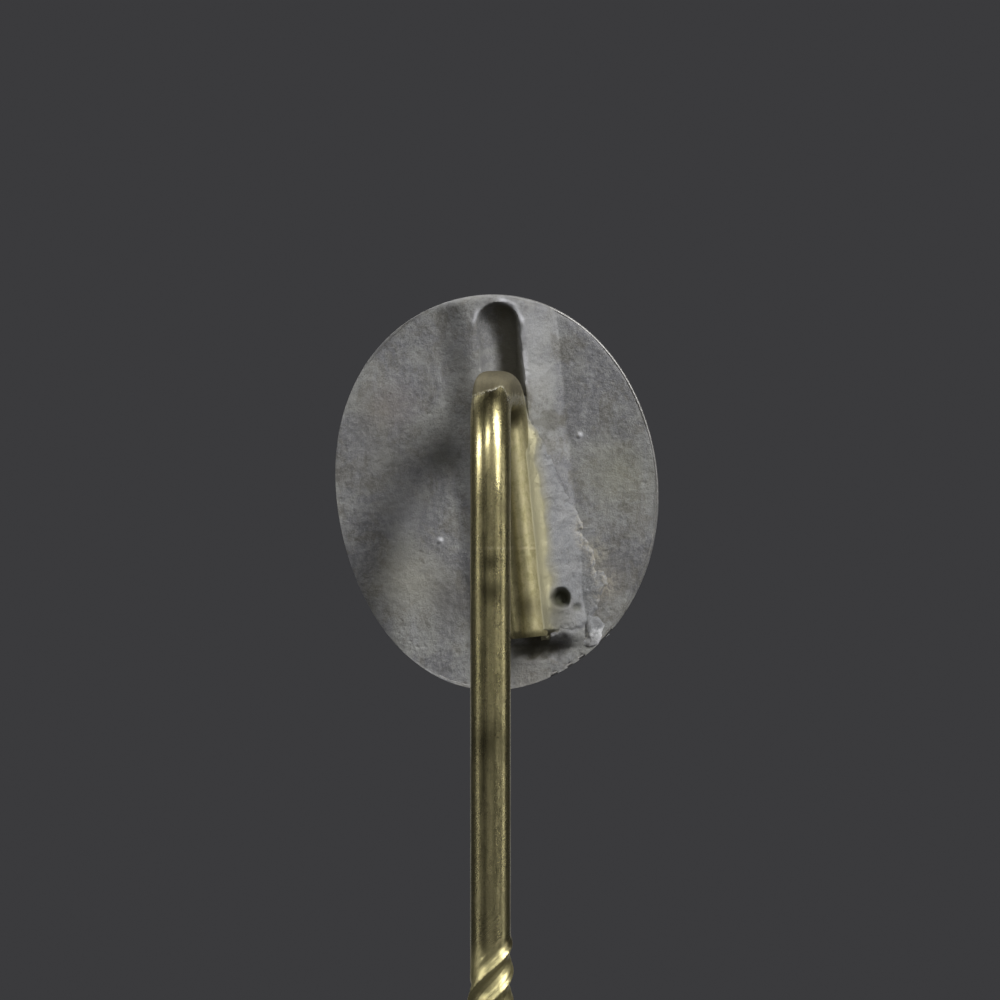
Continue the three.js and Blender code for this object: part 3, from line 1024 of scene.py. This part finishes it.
def domeRelief(r, angle):  # how deep the struck pattern goes, and how dark it has turned there
    boss, foot = front["bossRadius"], front["domeFoot"]
    valley = 0.5 - 0.5 * math.cos(angle * front["flutes"])
    spread = ease(r, boss + 0.1, boss + 0.5) * ease(foot - r, 0, 0.3)
    ringed = bell(r - front["bossRing"], front["bossRingWidth"])
    depth = front["fluteDepth"] * valley ** 1.5 * spread
    depth += front["bossStep"] * (ease(r, boss - 0.03, boss + 0.03) + ringed)
    return depth, max(0.9 * valley ** 2 * spread, bell(r - boss - 0.04, 0.05), 0.7 * ringed)


def beadPlaces(cuts=2000):  # evenly spaced along the oval
    ring, forward = front["beadRing"], front["skirt"] - 0.01
    fine = [toOval(Vector((math.cos(t) * ring, forward, math.sin(t) * ring)))
            for t in (2 * math.pi * i / cuts for i in range(cuts + 1))]
    gone = distancesAlong(fine)
    pitch, places = gone[-1] / front["beads"], []
    for point, distance in zip(fine, gone[:-1]):
        if distance >= len(places) * pitch:
            places.append(point)
    return places


def makeFrontShell(material):
    bm = bmesh.new()
    points = [bm.verts.new((r, forward, 0)) for r, forward in frontProfile()]
    line = [bm.edges.new(pair) for pair in zip(points, points[1:])]
    bmesh.ops.spin(bm, geom=points + line, cent=(0, 0, 0), axis=(0, 1, 0), angle=2 * math.pi,
                   steps=front["steps"], use_merge=True)
    bmesh.ops.remove_doubles(bm, verts=bm.verts, dist=0.0005)
    [hollow] = attributeLayers(bm, "hollow")
    for vert in bm.verts:
        r, angle = math.hypot(vert.co.x, vert.co.z), math.atan2(vert.co.z, vert.co.x)
        if vert.co.y > front["skirt"] - 0.001 and r < front["domeFoot"]:
            depth, vert[hollow] = domeRelief(r, angle)
            vert.co.y -= depth
        elif vert.co.y > front["skirt"] - 0.06 and 4.0 < r < 4.75:  # the band under the beads
            vert[hollow] = 0.85
        elif vert.co.y < 0.2:  # the lip
            vert[hollow] = 0.55
        vert.co = toOval(vert.co)
    for place in beadPlaces():
        bead = bmesh.ops.create_icosphere(bm, subdivisions=3, radius=front["beadRadius"],
                                          matrix=Matrix.Translation(place))
        for vert in bead["verts"]:
            vert[hollow] = ease(front["skirt"] + 0.07 - vert.co.y, 0, 0.10)
    bmesh.ops.transform(bm, matrix=headPlace, verts=bm.verts)
    finishPiece("frontShell", bm, material, "front_shell", 50)


struckMetal = {
    "worn": ((0.60, 0.59, 0.57), (0.72, 0.71, 0.69)),
    "grimy": (0.40, 0.385, 0.35),
    "hollow": (0.085, 0.08, 0.075),
    "bump": 0.005,
}


def silverFinish():
    f = Finish("struckWhiteMetal")
    wear = f.grain(f.place, 1.1, 4, 0.6)
    rub = f.grain(f.scaled(f.place, (1, 0.2, 0.35)), 24, 4, 0.65)
    sandy = f.grain(f.place, 16, 4, 0.65)
    hollow = f.attribute("hollow")
    base = f.layered(
        f.blend(wear, *struckMetal["worn"]),
        (f.between(sandy, 0.56, 0.70) * 0.4, struckMetal["grimy"]),
        (f.between(hollow + sandy * 0.3, 0.30, 0.95) * 0.88, struckMetal["hollow"]),
    )
    f.set(
        Base_Color=base,
        Metallic=1.0,
        Roughness=0.24 + wear * 0.12 + hollow * 0.35,
        Normal=f.bump(rub + sandy * 0.6, struckMetal["bump"]),
    )
    return f.material


makePinWire(brassFinish())
makeCastBacking(castFinish())
makeSolderRun(solderFinish("solderGrey", solderMetal["run"], 0.35))
makeSolderDrop(solderFinish("solderBright", solderMetal["drop"], 0.05))
makeFrontShell(silverFinish())

print("all pieces are made")
